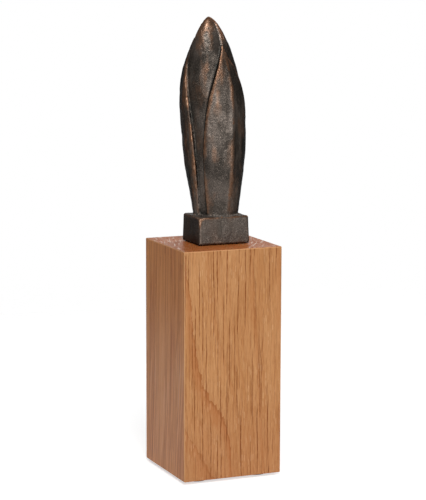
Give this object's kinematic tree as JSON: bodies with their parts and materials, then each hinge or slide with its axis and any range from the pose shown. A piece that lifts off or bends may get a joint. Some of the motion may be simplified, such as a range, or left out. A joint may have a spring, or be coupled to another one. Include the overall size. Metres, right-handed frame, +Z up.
{
  "type": "display plinth",
  "caption": "Square oak block plinth on felt pads, topped by a cast bronze bud ornament on a rectangular foot, which lifts straight up off its mounting pins.",
  "frame": {"origin": "middle of the block's footprint, on the surface that the felt pads stand on", "axes": "+Z up, the front face of the block looks along -Y, +X to the right seen from the front"},
  "size_m": [0.068, 0.068, 0.2986],
  "materials": {
    "oiled_oak": "solid oak, grain upright, thin satin oil or varnish",
    "felt": "dense dark brown wool felt, self-adhesive",
    "brass": "turned and milled, left bare",
    "patinated_bronze": "cast bronze, dark brown patina, rubbed to copper brown on the ridges",
    "stainless_steel": "bright drawn stainless steel"
  },
  "bodies": {
    "plinth": {"oak_plinth": "oiled_oak", "felt_pad_front_left": "felt", "felt_pad_front_right": "felt", "felt_pad_back_left": "felt", "felt_pad_back_right": "felt", "pin_socket": "brass", "steady_socket": "brass"},
    "exhibit": {"bronze_casting": "patinated_bronze", "mounting_plate": "brass", "plate_screw_left": "stainless_steel", "plate_screw_right": "stainless_steel", "mounting_pin": "stainless_steel", "lock_nut": "stainless_steel", "steady_pin": "stainless_steel"}
  },
  "joints": [
    {"name": "exhibit_lift", "type": "slide", "parent": "plinth", "child": "exhibit", "axis": [0, 0, 1], "range_m": [0, 0.045]}
  ]
}
